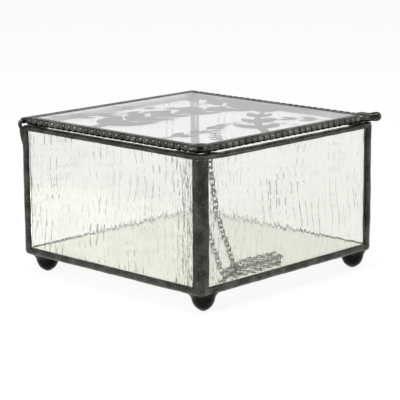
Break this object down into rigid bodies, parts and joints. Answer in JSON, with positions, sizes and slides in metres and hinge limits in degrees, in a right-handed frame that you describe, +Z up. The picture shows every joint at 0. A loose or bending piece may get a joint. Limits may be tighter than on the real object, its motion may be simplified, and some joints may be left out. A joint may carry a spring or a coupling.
{
  "type": "glass casket box",
  "caption": "Square keepsake box of soldered glass panes with a hinged clear glass lid, beaded-wire edging, solder feet, a mirror floor and a fine chain that stops the lid.",
  "frame": {"origin": "centre of the box's plan, on the table under the feet", "axes": "+Z up, front of the box at -Y, hinge at +Y, chain side at -X"},
  "size_m": [0.1077, 0.1074, 0.0659],
  "materials": {
    "streaky_glass": "clear glass with vertical streaks pressed into it",
    "clear_glass": "smooth clear glass, printed",
    "mirror_glass": "mirror",
    "dark_solder": "hand-run solder with a worn dark patina",
    "beaded_wire": "tinned beaded wire with a worn dark patina",
    "hinge_stock": "dark patina, worn brown",
    "chain_wire": "dark patina, worn"
  },
  "bodies": {
    "box": {"front_pane": "streaky_glass", "back_pane": "streaky_glass", "left_pane": "streaky_glass", "right_pane": "streaky_glass", "mirror_floor": "mirror_glass", "corner_seam_fl": "dark_solder", "corner_seam_fr": "dark_solder", "corner_seam_bl": "dark_solder", "corner_seam_br": "dark_solder", "rim_front": "dark_solder", "rim_back": "dark_solder", "rim_left": "dark_solder", "rim_right": "dark_solder", "base_seam_front": "dark_solder", "base_seam_back": "dark_solder", "base_seam_left": "dark_solder", "base_seam_right": "dark_solder", "foot_fl": "dark_solder", "foot_fr": "dark_solder", "foot_bl": "dark_solder", "foot_br": "dark_solder", "lid_rest_left": "dark_solder", "lid_rest_right": "dark_solder", "hinge_rod": "hinge_stock", "hinge_tack_left": "dark_solder", "hinge_tack_right": "dark_solder", "chain_ring_box": "chain_wire"},
    "lid": {"lid_glass": "clear_glass", "lid_border": "dark_solder", "beads_front": "beaded_wire", "beads_left": "beaded_wire", "beads_right": "beaded_wire", "bead_corner": "beaded_wire", "lid_blob": "dark_solder", "lift_knob": "dark_solder", "hinge_tube": "hinge_stock", "lid_back_seam": "dark_solder", "chain_ring_lid": "chain_wire"},
    "chain_box_drop": {"chain_box_drop": "chain_wire"},
    "chain_box_foot": {"chain_box_foot": "chain_wire"},
    "chain_lid_drop": {"chain_lid_drop": "chain_wire"},
    "chain_lid_foot": {"chain_lid_foot": "chain_wire"},
    "chain_row_front_a": {"chain_row_front_a": "chain_wire"},
    "chain_row_front_b": {"chain_row_front_b": "chain_wire"},
    "chain_turn": {"chain_turn": "chain_wire"},
    "chain_row_rear_a": {"chain_row_rear_a": "chain_wire"},
    "chain_row_rear_b": {"chain_row_rear_b": "chain_wire"}
  },
  "joints": [
    {"name": "lid_hinge", "type": "hinge", "parent": "box", "child": "lid", "pos_m": [0, 0.0515, 0.06355], "axis": [-1, 0, 0], "range_deg": [0, 128.59]},
    {"name": "chain_box_drop_turn", "type": "hinge", "parent": "box", "child": "chain_box_drop", "pos_m": [-0.0452, -0.0461, 0.05985], "axis": [0.9924, -0.0712, 0.0999], "range_deg": [0, 113.63]},
    {"name": "chain_box_foot_turn", "type": "hinge", "parent": "chain_box_drop", "child": "chain_box_foot", "pos_m": [-0.0424, -0.0444, 0.03325], "axis": [-0.1656, 0.9851, 0.0455], "range_deg": [0, 22.34]},
    {"name": "chain_lid_drop_turn", "type": "hinge", "parent": "lid", "child": "chain_lid_drop", "pos_m": [-0.0422, -0.0458, 0.06085], "axis": [0.9504, 0.1405, 0.2776], "range_deg": [0, 61.57]},
    {"name": "chain_lid_foot_turn", "type": "hinge", "parent": "chain_lid_drop", "child": "chain_lid_foot", "pos_m": [-0.0354, -0.0432, 0.03625], "axis": [-0.0242, 0.9948, 0.0985], "range_deg": [0, 12.68]},
    {"name": "chain_row_front_a_turn", "type": "hinge", "parent": "chain_lid_foot", "child": "chain_row_front_a", "pos_m": [-0.022, -0.0404, 0.01125], "axis": [0.0132, 0.9929, 0.1183], "range_deg": [0, 62.05]},
    {"name": "chain_row_front_b_turn", "type": "hinge", "parent": "chain_row_front_a", "child": "chain_row_front_b", "pos_m": [-0.007, -0.0406, 0.01125], "axis": [0, 0, -1], "range_deg": [0, 3.94]},
    {"name": "chain_turn_turn", "type": "hinge", "parent": "chain_row_front_b", "child": "chain_turn", "pos_m": [0.0056, -0.0399, 0.01125], "axis": [0, 0, -1], "range_deg": [0, 86.82]},
    {"name": "chain_row_rear_a_turn", "type": "hinge", "parent": "chain_turn", "child": "chain_row_rear_a", "pos_m": [0.0056, -0.035, 0.01125], "axis": [0, 0, -1], "range_deg": [0, 88.49]},
    {"name": "chain_row_rear_b_turn", "type": "hinge", "parent": "chain_row_rear_a", "child": "chain_row_rear_b", "pos_m": [-0.0134, -0.0345, 0.01125], "axis": [0, 0, -1], "range_deg": [0, 23.37]}
  ],
  "couplings": [
    {"joint": "chain_box_drop_turn", "follows": "lid_hinge", "ratio": 0.88364},
    {"joint": "chain_box_foot_turn", "follows": "lid_hinge", "ratio": 0.17368},
    {"joint": "chain_lid_drop_turn", "follows": "lid_hinge", "ratio": 0.47878},
    {"joint": "chain_lid_foot_turn", "follows": "lid_hinge", "ratio": 0.098582},
    {"joint": "chain_row_front_a_turn", "follows": "lid_hinge", "ratio": 0.4825},
    {"joint": "chain_row_front_b_turn", "follows": "lid_hinge", "ratio": 0.030669},
    {"joint": "chain_turn_turn", "follows": "lid_hinge", "ratio": 0.67517},
    {"joint": "chain_row_rear_a_turn", "follows": "lid_hinge", "ratio": 0.68817},
    {"joint": "chain_row_rear_b_turn", "follows": "lid_hinge", "ratio": 0.18171}
  ]
}
